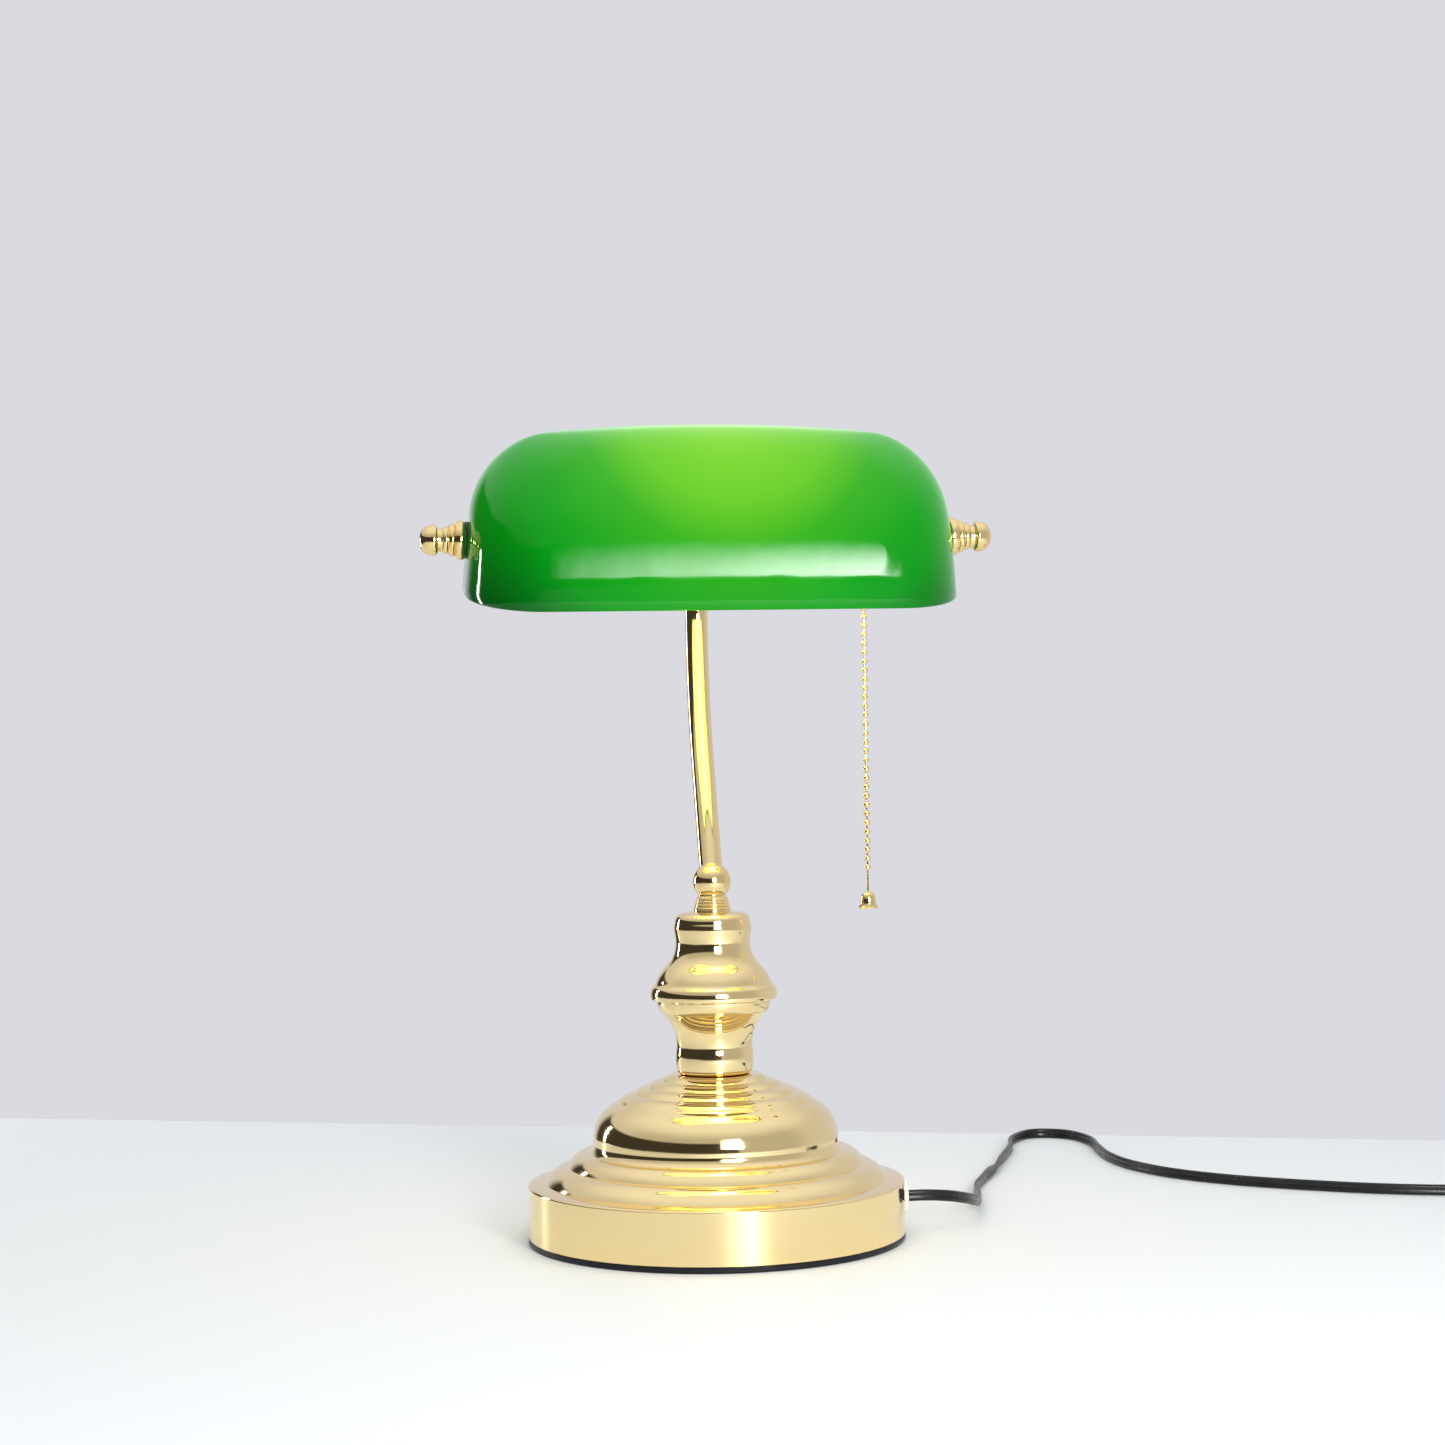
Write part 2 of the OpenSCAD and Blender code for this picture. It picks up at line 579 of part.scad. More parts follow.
module chain_nozzle() {
  color("#d9b765") translate([chain_x, axis_y, 0]) rotate_extrude() polygon([
    [nozzle_bore_r, nozzle_bottom_z], [3.1, nozzle_bottom_z - 0.4], [3.9, nozzle_bottom_z],
    [4, nozzle_bottom_z + 0.9], [3.3, nozzle_bottom_z + 1.6], [3.3, axis_z - socket_r + 0.9],
    [nozzle_bore_r, axis_z - socket_r + 0.9]]);
}
// Round to shoulder_w degrees from its middle, then narrowing to the neck; hollow, with an open neck
module bulb_glass() {
  r = bulb_d / 2;
  neck_r = 12.4;
  shoulder_w = 54;
  shoulder_x = bulb_x + r * sin(shoulder_w);
  shoulder_r = r * cos(shoulder_w);
  outline = concat(
    [for (i = [0:24]) let(w = 90 - (90 + shoulder_w) * i / 24) [r * cos(w), bulb_x - r * sin(w)]],
    [for (t = [0.25:0.25:1])
      [shoulder_r + (neck_r - shoulder_r) * (2 - t) * t, shoulder_x + (bulb_neck_x - 4 - shoulder_x) * t]],
    [[neck_r, bulb_neck_x + 1]]);
  shrink = 1 - bulb_wall / r;
  inner = [for (p = outline) [p[0] * shrink, bulb_x + (p[1] - bulb_x) * shrink]];
  last = len(inner) - 1;
  color("white") on_axis() lathe(concat(outline, [[inner[last][0], bulb_neck_x + 1]],
                                        [for (i = [last - 1:-1:0]) inner[i]]));
}
module bulb_base() {
  color("silver") on_axis() difference() {
    lathe([[0, bulb_neck_x - 1], [bulb_base_r, bulb_neck_x - 1], [bulb_base_r, 54.5], [11.4, 56],
           [5.4, 57.8], [0, 57.8]]);
    translate([0, 0, bulb_neck_x - 2]) cylinder(r = 12.5, h = 12);
  }
}
module bulb_contact() {
  color("#b9bec6") on_axis() lathe([[0, 57.8], [4.4, 57.8], [3.6, 58.4], [0, bulb_tip_x]]);
}

// ---- Pull chain ----
// Beads on a wire, from z_top down
module beads(z_top, count) {
  for (i = [0:count - 1]) translate([chain_x, axis_y, z_top - i * bead_pitch]) sphere(r = bead_r);
  run = (count - 1) * bead_pitch;
  translate([chain_x, axis_y, z_top - run]) cylinder(r = chain_wire_r, h = run);
}
module switch_slider() {
  color("silver") translate([chain_x, axis_y, slider_z - 1]) cylinder(r = 2.4, h = 7);
}
module chain_top() {
  z_top = slider_z - 1 - bead_r;
  link_z = top_pivot_z + bead_r + link_gap;
  color("#d9b765") {
    beads(z_top, top_beads);
    translate([chain_x, axis_y, link_z])
      cylinder(r = chain_wire_r, h = z_top - (top_beads - 1) * bead_pitch - link_z);
  }
}
module chain_upper() {
  low_z = top_pivot_z - (upper_beads - 1) * bead_pitch;
  link_z = mid_pivot_z + bead_r + link_gap;
  color("#d9b765") {
    beads(top_pivot_z, upper_beads);
    translate([chain_x, axis_y, link_z]) cylinder(r = chain_wire_r, h = low_z - link_z);
  }
}
module chain_lower() {
  low_z = mid_pivot_z - (lower_beads - 1) * bead_pitch;
  color("#d9b765") {
    beads(mid_pivot_z, lower_beads);
    translate([chain_x, axis_y, bell_top_z - 0.6]) cylinder(r = chain_wire_r, h = low_z - bell_top_z + 0.6);
  }
}
module chain_bell() {
  color("#dcbb6c") translate([chain_x, axis_y, bell_top_z]) rotate_extrude() polygon(concat(
    [[chain_wire_r + 0.05, 0], [1.5, 0]],
    bulge([1.5, 0], [3.3, -2.4], -0.35, 4),
    bulge([3.3, -2.4], [3.7, -5.6], -0.15, 3),
    [[3.7, -5.6], [4.75, -7.4], [4.6, -7.9], [4.2, -7.8], [3.1, -5.6], [2.7, -2.8],
     [chain_wire_r + 0.05, -1.6]]));
}

// ---- Leads, cord and plug ----
module inner_lead() {
  color("#222222") tube(curve(inner_route, 2), lead_r, 8);
}
module cord_lead() {
  color("#17181b") tube(curve(lead_route, 3), cord_r, 8);
}
module cord_coil() {
  color("#17181b") translate([coil_c[0], coil_c[1], 0]) rotate_extrude()
    translate([coil_in_r, 0]) square([coil_out_r - coil_in_r, coil_h]);
}
module cord_tail() {
  color("#17181b") tube(curve(tail_route, 2), cord_r, 8);
}
module plug_body() {
  color("#17181b") translate([plug_x, plug_y, 0]) difference() {
    hull() {
      translate([-4, -4, 0]) cube([8, 6, 7.6]);
      translate([-11, -14, 0]) cube([22, 4, 13]);
      translate([-12, -20, 0]) cube([24, 6, 14]);
    }
    translate([0, -2, 3]) rotate([-90, 0, 0]) cylinder(r = cord_r + fit_gap, h = 10);
    for (x = [-blade_x, blade_x]) translate([x - 0.8, -25, 3.6]) cube([1.6, 11, 6.6]);
  }
}
module plug_blades() {
  color("#d6c38a") for (x = [-blade_x, blade_x])
    translate([plug_x + x - 0.75, plug_y - 36, 3.7]) difference() {
    cube([1.5, 21.5, 6.4]);
    translate([-1, 3.6, 3.2]) rotate([0, 90, 0]) cylinder(r = 1.6, h = 4);
  }
}

base_pad();
base_plate();
base_weight();
base_shell();
cord_bushing();
lamp_pipe();
pipe_washer();
pipe_nut();
column_lower();
column_upper();
stem_collar();
stem_tube();
arm_hub();
hub_screws();
shade_arm();
pivot_pipe(-1);  // pivot_pipe_left
pivot_pipe(1);  // pivot_pipe_right
pivot_nuts();
shade_glass();
gasket(-1);  // gasket_left
gasket(1);  // gasket_right
inner_washer(-1);  // inner_washer_left
inner_washer(1);  // inner_washer_right
knob(-1);  // knob_left
knob(1);  // knob_right
socket_cap();
socket_shell();
socket_liner();
socket_body();
socket_thread();
socket_contact();
chain_nozzle();
switch_slider();
chain_top();
chain_upper();
chain_lower();
chain_bell();
bulb_glass();
bulb_base();
bulb_contact();
inner_lead();
cord_lead();
cord_coil();
cord_tail();
plug_body();
plug_blades();
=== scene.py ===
"""Banker desk lamp: the looks. Everything is in metres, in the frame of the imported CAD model."""
import json
import math

import bmesh
import bpy
from mathutils import Matrix, Vector


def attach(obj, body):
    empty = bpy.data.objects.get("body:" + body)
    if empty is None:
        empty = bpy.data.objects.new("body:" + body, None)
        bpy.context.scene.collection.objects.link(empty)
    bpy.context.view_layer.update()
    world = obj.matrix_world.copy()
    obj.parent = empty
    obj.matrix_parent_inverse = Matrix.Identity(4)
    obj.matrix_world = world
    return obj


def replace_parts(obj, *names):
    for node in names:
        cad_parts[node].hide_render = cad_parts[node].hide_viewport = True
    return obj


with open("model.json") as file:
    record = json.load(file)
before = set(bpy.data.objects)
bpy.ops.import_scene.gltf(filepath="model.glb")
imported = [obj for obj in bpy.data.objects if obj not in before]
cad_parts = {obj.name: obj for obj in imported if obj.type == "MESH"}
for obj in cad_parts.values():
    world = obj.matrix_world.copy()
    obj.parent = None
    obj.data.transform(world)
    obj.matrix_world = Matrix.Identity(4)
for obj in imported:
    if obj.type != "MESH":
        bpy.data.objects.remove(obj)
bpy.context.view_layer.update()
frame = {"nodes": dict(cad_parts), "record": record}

MM = 0.001
UP = Vector((0, 0, 1))
NODES = frame["nodes"]

# The lamp's driving sizes, in millimetres, as its CAD model has them
BASE_R, BAND_H, PAD_T, BRASS_T = 88.2, 27.5, 2.6, 1.1
COLUMN_Z, PIPE_R = 77.5, 4.85
COLLAR_Z, BALL_Z, BALL_R = 153.7, 167.4, 8.9
STEM_R, STEM_WALL, STEM_LEAN, STEM_STRAIGHT = 5.5, 1.0, 26, 62
STEM_BEND_R, STEM_HOOK_R, STEM_HOOK, STEM_INSERT, STEM_START = 155, 60, 28, 3, 1.5
AXIS = Vector((0, -8, 328))
SHADE_L, SHADE_W, RIM_DROP, SHADE_TILT, GLASS_T, END_SLOPE = 228.6, 133, 24, 10, 3.2, 5
SIDE_H, CROWN_H, CORNER_X, CORNER_Y, PLAN_X, PLAN_Y = 69.4, 7.1, 36, 60, 34, 56
SIDE_DRAFT, CROWN_ACROSS, LIP_DROP = 0.02, 0.3, 1.1
KNOB_FACE_X = SHADE_L / 2 - RIM_DROP * math.tan(math.radians(END_SLOPE)) + 1.3
BULB_X = 8
CHAIN_X, BEAD_R, BEAD_PITCH = 73, 1.55, 4.2
TOP_BEAD_Z, TOP_BEADS = 313.45, 3
UPPER_BEAD_Z, UPPER_BEADS = 299.1, 15
LOWER_BEAD_Z, LOWER_BEADS = 235.9, 16
LINK_GAP = BEAD_R + 0.2
BELL_Z = 161.5
CORD_W, CORD_T = 5.4, 2.7

SHARP_EDGE = 32          # degrees between faces from which an edge stays crisp
ON_AXIS = 1e-4           # millimetres within which a point counts as on a lathe's axis


def sin(degrees):
    return math.sin(math.radians(degrees))


def cos(degrees):
    return math.cos(math.radians(degrees))


def smooth(t):
    """Rises from 0 to 1 with a soft start and a soft end."""
    t = min(1, max(0, t))
    return t * t * (3 - 2 * t)


def tangent(path, i):
    """The direction of a path of Vectors at its point i."""
    return (path[min(i + 1, len(path) - 1)] - path[max(i - 1, 0)]).normalized()


# ---------------------------------------------------------------- camera
YAW, ROLL = 7.6, -0.9
CAMERA_DISTANCE, CAMERA_HEIGHT, CAMERA_RIGHT = 1.340, 0.242, 0.0062
LENS, SENSOR = 71.1, 36


def make_camera():
    """A level camera in front of the lamp, turned a little to its side and rolled a little."""
    forward = Vector((sin(YAW), cos(YAW), 0))
    right = Vector((cos(YAW), -sin(YAW), 0))
    data = bpy.data.cameras.new("camera")
    data.lens, data.sensor_width = LENS, SENSOR
    data.clip_start, data.clip_end = 0.01, 50
    camera = bpy.data.objects.new("camera", data)
    place = Matrix((right, UP, -forward)).transposed().to_4x4()
    place.translation = right * CAMERA_RIGHT - forward * CAMERA_DISTANCE + UP * CAMERA_HEIGHT
    camera.matrix_world = place @ Matrix.Rotation(math.radians(ROLL), 4, "Z")
    bpy.context.collection.objects.link(camera)
    bpy.context.scene.camera = camera


make_camera()


# ---------------------------------------------------------------- meshes
def soften(bm, sharp):
    """Shades a bmesh smooth, but for edges sharper than sharp degrees."""
    for f in bm.faces:
        f.smooth = True
    for e in bm.edges:
        e.smooth = len(e.link_faces) == 2 and e.calc_face_angle(0) < math.radians(sharp)


def piece_from(bm, name, body, material, sharp=SHARP_EDGE):
    """An object from a bmesh in millimetres, smooth but for edges sharper than sharp degrees."""
    bmesh.ops.recalc_face_normals(bm, faces=bm.faces)
    for v in bm.verts:
        v.co *= MM
    soften(bm, sharp)
    mesh = bpy.data.meshes.new(name)
    bm.to_mesh(mesh)
    bm.free()
    piece = bpy.data.objects.new(name, mesh)
    bpy.context.collection.objects.link(piece)
    mesh.materials.append(material)
    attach(piece, body)
    return piece


def skin_rings(bm, rings, close=False, caps=True):
    """Joins rings of points, each a list of the same length, into a tube."""
    made = [[bm.verts.new(p) for p in ring] for ring in rings]
    pairs = list(zip(made, made[1:] + made[:1])) if close else list(zip(made, made[1:]))
    for a, b in pairs:
        n = len(a)
        for i in range(n):
            bm.faces.new((a[i], a[(i + 1) % n], b[(i + 1) % n], b[i]))
    if caps and not close:
        bm.faces.new(made[0][::-1])
        bm.faces.new(made[-1])
    return made


def lathe(name, line, body, slot, material, place=Matrix(), segments=160, closed=False, sharp=SHARP_EDGE):
    """Turns a line of (radius, height) points about Z. A closed line makes a hollow wall."""
    bm = bmesh.new()
    line = [p for i, p in enumerate(line) if i == 0 or math.dist(p, line[i - 1]) > ON_AXIS]

    def ring(r, z):
        angles = [360 * k / segments for k in range(segments)]
        return [(r * cos(w), r * sin(w), z) for w in angles]

    if closed:
        skin_rings(bm, [ring(*p) for p in line], close=True)
    else:
        inner = [p for p in line if p[0] > ON_AXIS]
        made = skin_rings(bm, [ring(*p) for p in inner], caps=False)
        for end, loop, at in ((line[0], made[0], 1), (line[-1], made[-1], -1)):
            if end[0] <= ON_AXIS:
                tip = bm.verts.new((0, 0, end[1]))
                for i in range(segments):
                    bm.faces.new((tip, loop[i], loop[(i + 1) % segments])[::at])
            else:
                bm.faces.new(loop[::-at])
    bm.transform(place)
    return piece_from(bm, name, body, material, sharp)


def bulge(p, q, s, n=10):
    """Points from p up to q along an arc that stands s proud of the straight line."""
    d = (q[0] - p[0], q[1] - p[1])
    long = math.hypot(*d)
    return [(p[0] + d[0] * i / n + d[1] / long * 4 * s * (i / n) * (1 - i / n),
             p[1] + d[1] * i / n - d[0] / long * 4 * s * (i / n) * (1 - i / n)) for i in range(n)]


def arc(c, r, a0, a1, n):
    """Points round the centre c at radius r, from a0 to a1 degrees."""
    angles = [a0 + (a1 - a0) * i / n for i in range(n + 1)]
    return [(c[0] + r * cos(w), c[1] + r * sin(w)) for w in angles]


def inset(line, d):
    """The line moved by d to its left."""
    out = []
    for i, p in enumerate(line):
        before, after = line[max(i - 1, 0)], line[min(i + 1, len(line) - 1)]
        normals = []
        for a, b in ((before, p), (p, after)):
            if a != b:
                length = math.dist(a, b)
                normals.append(((a[1] - b[1]) / length, (b[0] - a[0]) / length))
        nx, ny = (sum(n[k] for n in normals) for k in (0, 1))
        size = math.hypot(nx, ny)
        nx, ny = nx / size, ny / size
        reach = d / max(0.6, nx * normals[0][0] + ny * normals[0][1])
        out.append((p[0] + nx * reach, p[1] + ny * reach))
    return out


def walled(line, t):
    """The closed outline of a wall t thick with the line as its outer face."""
    return line + inset(line, t)[::-1]


def catmull(points, step):
    """A smooth line through every point, with a point about every step millimetres."""
    out = []
    for i in range(len(points) - 1):
        a, b, c, d = (Vector(points[min(max(i + k, 0), len(points) - 1)]) for k in (-1, 0, 1, 2))
        n = max(1, round((c - b).length / step))
        for k in range(n):
            t = k / n
            out.append(0.5 * ((2 * b) + (c - a) * t + (2 * a - 5 * b + 4 * c - d) * t * t
                              + (3 * b - a - 3 * c + d) * t ** 3))
    return out + [Vector(points[-1])]


def sweep(bm, path, outline, roll):
    """Draws an outline of (across, up) points along a path, turned by roll(distance) degrees."""
    rings, along = [], 0.0
    for i, p in enumerate(path):
        t = tangent(path, i)
        along += (p - path[i - 1]).length if i else 0
        high = (UP - t * UP.dot(t)).normalized()
        side = t.cross(high)
        w = roll(along)
        rings.append([p + side * (x * cos(w) - y * sin(w)) + high * (x * sin(w) + y * cos(w))
                      for x, y in outline])
    skin_rings(bm, rings)


# ---------------------------------------------------------------- materials
def add_node(tree, kind, **values):
    made = tree.nodes.new("ShaderNode" + kind)
    for key, value in values.items():
        setattr(made, key, value)
    return made


class Shader:
    """A Principled material whose colour, roughness and bump come from noise in the piece's own space."""

    def __init__(self, name, color, metallic=0.0, roughness=0.4, **sockets):
        self.material = bpy.data.materials.new(name)
        self.material.use_nodes = True
        self.tree = self.material.node_tree
        self.bsdf = self.tree.nodes["Principled BSDF"]
        self.bsdf.inputs["Base Color"].default_value = (*color, 1)
        self.bsdf.inputs["Metallic"].default_value = metallic
        self.bsdf.inputs["Roughness"].default_value = roughness
        for key, value in sockets.items():
            self.bsdf.inputs[key.replace("_", " ")].default_value = value
        self.coords = self.tree.nodes.new("ShaderNodeTexCoord").outputs["Object"]
        self.height = None

    def node(self, kind, **values):
        return add_node(self.tree, kind, **values)

    def link(self, a, b):
        self.tree.links.new(a, b)

    def stretched(self, scale):
        mapping = self.node("Mapping")
        mapping.inputs["Scale"].default_value = scale
        self.link(self.coords, mapping.inputs["Vector"])
        return mapping.outputs[0]

    def noise(self, scale, detail, stretch=None):
        made = self.node("TexNoise")
        made.inputs["Scale"].default_value = scale
        made.inputs["Detail"].default_value = detail
        self.link(self.stretched(stretch) if stretch else self.coords, made.inputs["Vector"])
        return made.outputs["Fac"]

    def spread(self, fac, low, high):
        made = self.node("MapRange")
        made.inputs["From Min"].default_value, made.inputs["From Max"].default_value = 0.3, 0.7
        made.inputs["To Min"].default_value, made.inputs["To Max"].default_value = low, high
        self.link(fac, made.inputs["Value"])
        return made.outputs[0]

    def vary_roughness(self, fac, low, high):
        self.link(self.spread(fac, low, high), self.bsdf.inputs["Roughness"])
        return self

    def vary_color(self, fac, stops):
        ramp = self.node("ValToRGB")
        while len(ramp.color_ramp.elements) < len(stops):
            ramp.color_ramp.elements.new(0.5)
        for element, (at, color) in zip(ramp.color_ramp.elements, stops):
            element.position, element.color = at, (*color, 1)
        self.link(fac, ramp.inputs["Fac"])
        return ramp.outputs["Color"]

    def color_from(self, fac, stops):
        self.link(self.vary_color(fac, stops), self.bsdf.inputs["Base Color"])
        return self

    def bump(self, fac, strength, distance):
        made = self.node("Bump")
        made.inputs["Strength"].default_value = strength
        made.inputs["Distance"].default_value = distance
        self.link(fac, made.inputs["Height"])
        if self.height:
            self.link(self.height, made.inputs["Normal"])
        self.height = made.outputs["Normal"]
        self.link(self.height, self.bsdf.inputs["Normal"])
        return self


def shade_color(color, k):
    """The colour k times as bright."""
    return tuple(min(1.0, c * k) for c in color)


def brass(name, color, low, high, marks):
    """Polished brass with faint waves and fine polishing marks, which marks stretches."""
    s = Shader(name, color, metallic=1.0, roughness=low)
    s.color_from(s.noise(9, 4), [(0.35, shade_color(color, 0.965)), (0.65, color)])
    s.vary_roughness(s.noise(60, 5, marks), low, high)
    s.bump(s.noise(22, 2), 0.05, 0.0006)
    s.bump(s.noise(900, 3, marks), 0.02, 0.0001)
    return s.material


PALE_GOLD = (0.93, 0.735, 0.385)
WARM_GOLD = (0.92, 0.70, 0.34)
BRASS = brass("polished_brass", PALE_GOLD, 0.045, 0.10, (1, 1, 5))
TURNED = brass("turned_brass", WARM_GOLD, 0.06, 0.12, (1, 1, 9))


def rubber(name, color, low, high, sheen=0.5):
    """Rubber, soft PVC or moulded plastic with a fine grain."""
    s = Shader(name, color, roughness=low, Specular_IOR_Level=sheen)
    s.color_from(s.noise(140, 4), [(0.3, shade_color(color, 0.75)), (0.7, shade_color(color, 1.25))])
    s.vary_roughness(s.noise(220, 3), low, high)
    s.bump(s.noise(1500, 4), 0.25, 0.0002)
    return s.material


def steel(name, color, low, high, stretch=(1, 1, 12)):
    """A duller metal with marks drawn out along one direction."""
    s = Shader(name, color, metallic=1.0, roughness=low)
    s.color_from(s.noise(45, 4), [(0.3, shade_color(color, 0.85)), (0.7, color)])
    s.vary_roughness(s.noise(160, 4, stretch), low, high)
    s.bump(s.noise(700, 3, stretch), 0.15, 0.0002)
    return s.material


RUBBER = rubber("black_rubber", (0.022, 0.022, 0.025), 0.42, 0.6)
PAD = rubber("pad_rubber", (0.010, 0.010, 0.014), 0.3, 0.45, 0.22)
ZINC = steel("zinc_steel", (0.62, 0.63, 0.65), 0.22, 0.4)
IRON = steel("iron", (0.12, 0.115, 0.11), 0.5, 0.75, (1, 1, 1))
ALUMINIUM = steel("aluminium", (0.72, 0.73, 0.74), 0.2, 0.35)
TIN = steel("lead_tin", (0.4, 0.41, 0.43), 0.35, 0.5, (1, 1, 1))
BLADE = steel("blade_brass", (0.78, 0.62, 0.33), 0.18, 0.32, (12, 1, 1))
PHENOLIC = rubber("phenolic", (0.03, 0.02, 0.018), 0.25, 0.4)
FIBRE = rubber("fibre_liner", (0.30, 0.2, 0.11), 0.7, 0.9)
LEAD_PVC = rubber("lead_pvc", (0.03, 0.03, 0.033), 0.35, 0.5)
CORD_PVC = rubber("cord_pvc", (0.008, 0.0085, 0.010), 0.24, 0.36, 0.35)
PLUG_PVC = rubber("plug_pvc", (0.012, 0.0125, 0.014), 0.38, 0.52, 0.35)


def bushing_material():
    s = Shader("bushing_plastic", (0.86, 0.83, 0.74), roughness=0.35, Subsurface_Weight=0.35,
               Subsurface_Scale=0.004)
    s.color_from(s.noise(60, 3), [(0.3, (0.80, 0.77, 0.68)), (0.7, (0.90, 0.88, 0.80))])
    s.bump(s.noise(700, 3), 0.1, 0.0002)
    return s.material


# Painted glow: where the bulb's light painted into the glass is brightest, in millimetres, the distances over
# which it falls, in metres, and how much of a distance along the shade counts
PAINTED_GLOW_FROM, PAINTED_GLOW_REACH, PAINTED_GLOW_ALONG = AXIS + Vector((BULB_X - 2, -20, 33)), (0.015, 0.155), 0.9


def painted_glow(s, stops, strength):
    """Painted glow: the bulb's light showing through is painted into the emission colour, falling with the
    distance from the bright spot in front of it.
    """
    away = s.node("VectorMath", operation="SUBTRACT")
    s.link(s.coords, away.inputs[0])
    away.inputs[1].default_value = PAINTED_GLOW_FROM * MM
    shrunk = s.node("VectorMath", operation="MULTIPLY")
    shrunk.inputs[1].default_value = (PAINTED_GLOW_ALONG, 1, 1)
    s.link(away.outputs["Vector"], shrunk.inputs[0])
    distance = s.node("VectorMath", operation="LENGTH")
    s.link(shrunk.outputs["Vector"], distance.inputs[0])
    far = s.node("MapRange")
    far.inputs["From Min"].default_value, far.inputs["From Max"].default_value = PAINTED_GLOW_REACH
    s.link(distance.outputs["Value"], far.inputs["Value"])
    s.link(s.vary_color(far.outputs[0], stops), s.bsdf.inputs["Emission Color"])
    s.bsdf.inputs["Emission Strength"].default_value = strength


def green_glass():
    s = Shader("green_glass", (0.001, 0.05, 0.006), roughness=0.05, IOR=1.42, Specular_IOR_Level=0.25)
    s.color_from(s.noise(18, 3), [(0.3, (0.001, 0.04, 0.005)), (0.7, (0.001, 0.06, 0.007))])
    # Painted glow: the bulb's light through the green glass is painted into its emission, yellow-green near the
    # bulb and deep green far from it.
    painted_glow(s, [(0.0, (0.22, 0.65, 0.01)), (0.2, (0.14, 0.55, 0.006)), (0.33, (0.035, 0.39, 0.002)),
             (0.5, (0.004, 0.30, 0.0)), (0.58, (0.001, 0.26, 0.0)), (0.7, (0.0, 0.1, 0.0)),
             (0.76, (0.0, 0.03, 0.0)), (1.0, (0.0, 0.005, 0.0))], 1.0)
    s.vary_roughness(s.noise(30, 4), 0.04, 0.12)
    s.bump(s.noise(22, 3), 0.3, 0.0015)
    s.bump(s.noise(120, 3, (1, 6, 1)), 0.05, 0.0004)
    return s.material


def painted_glow_opal():
    s = Shader("painted_glow_opal", (0.9, 0.9, 0.86), roughness=0.25)
    # Painted glow: the lit inside of the shade is painted into the opal's emission, warm near the bulb and
    # greener far from it.
    painted_glow(s, [(0.0, (0.9, 0.82, 0.36)), (0.5, (0.50, 0.54, 0.11)), (1.0, (0.22, 0.33, 0.03))], 0.75)
    s.bump(s.noise(40, 3), 0.08, 0.0008)
    return s.material


def lit_bulb():
    s = Shader("bulb_glass", (1.0, 0.95, 0.85), roughness=0.3, Emission_Strength=9.0)
    s.link(s.vary_color(s.noise(30, 2), [(0.3, (1.0, 0.80, 0.45)), (0.7, (1.0, 0.84, 0.52))]),
           s.bsdf.inputs["Emission Color"])
    return s.material


BUSHING, GREEN, OPAL, BULB = bushing_material(), green_glass(), painted_glow_opal(), lit_bulb()

PAINTS = {"polished_brass": BRASS, "turned_brass": TURNED, "black_rubber": RUBBER, "pad_rubber": PAD,
          "zinc_steel": ZINC, "iron": IRON, "bushing_plastic": BUSHING, "phenolic": PHENOLIC,
          "fibre_liner": FIBRE, "aluminium": ALUMINIUM, "bulb_glass": BULB, "lead_tin": TIN,
          "cord_pvc": CORD_PVC, "plug_pvc": PLUG_PVC, "lead_pvc": LEAD_PVC, "blade_brass": BLADE,
          "green_glass": GREEN}


def paint_frame():
    """Every CAD node that stays gets its material and smooth shading with crisp edges."""
    slots = {s["node"]: s["material_slot"] for s in frame["record"]["subparts"]}
    for name, node in NODES.items():
        node.data.materials.clear()
        node.data.materials.append(PAINTS[slots[name]])
        bm = bmesh.new()
        bm.from_mesh(node.data)
        soften(bm, SHARP_EDGE)
        bm.to_mesh(node.data)
        bm.free()


paint_frame()

# ---------------------------------------------------------------- cord
# The route's points, in millimetres, as the CAD model has them
LEAD_ROUTE = [
    (90.4, 0, 16.5), (100, 0, 16.5), (111, 3, 15.3), (121, 12, 12.5), (129, 26, 9),
    (135, 44, 5.6), (140, 64, 3.6), (144, 85, 2.8), (148, 104, 2.8), (164, 145, 2.8),
    (182, 192, 2.8), (194, 225, 2.8), (202, 254, 2.8), (218, 275, 2.8),
    (237, 268, 2.8), (244, 242, 2.8), (241, 212, 2.8), (239, 182, 2.8),
    (243, 150, 2.8), (257, 118, 2.8), (281, 90, 2.8), (313, 66, 2.8),
    (346, 47, 2.8), (380, 35, 2.8), (408, 32.6, 2.8)]
TAIL_ROUTE = [(457, -14, 8.1), (457, -22, 6.9), (457, -32, 4.8), (457, -44, 3.2), (457, -52, 3)]
COIL_C, COIL_R, COIL_PITCH, COIL_TURN = (420, -5), 37.4, 5.5, 2250
COIL_LOW, COIL_HIGH, COIL_CLIMB = 2.8, 8.3, 150
TWIST_START, TWIST_END = 150, 225


def coil_points(step=9):
    """Two flat layers of turns: the lower one runs inwards, the upper one back out."""
    half, out = COIL_TURN / 2, []
    for w in range(0, COIL_TURN + 1, step):
        r = COIL_R - COIL_PITCH * min(w, COIL_TURN - w) / 360
        z = COIL_LOW + (COIL_HIGH - COIL_LOW) * smooth((w - half) / COIL_CLIMB + 0.5)
        out.append(Vector((COIL_C[0] + r * cos(90 - w), COIL_C[1] + r * sin(90 - w), z)))
    return out


def cord_outline(n=7):
    """Two round cores side by side, one above the other, with a groove between them."""
    core = CORD_T / 2
    angles = [-140 + 280 * i / (n - 1) for i in range(n)]
    lobe = [(core * sin(w), core + core * cos(w)) for w in angles]
    return lobe + [(-x, -y) for x, y in lobe]


def twist(along):
    """The cord's turn about itself: half a turn between two distances from its start."""
    return 180 * smooth((along - TWIST_START) / (TWIST_END - TWIST_START))


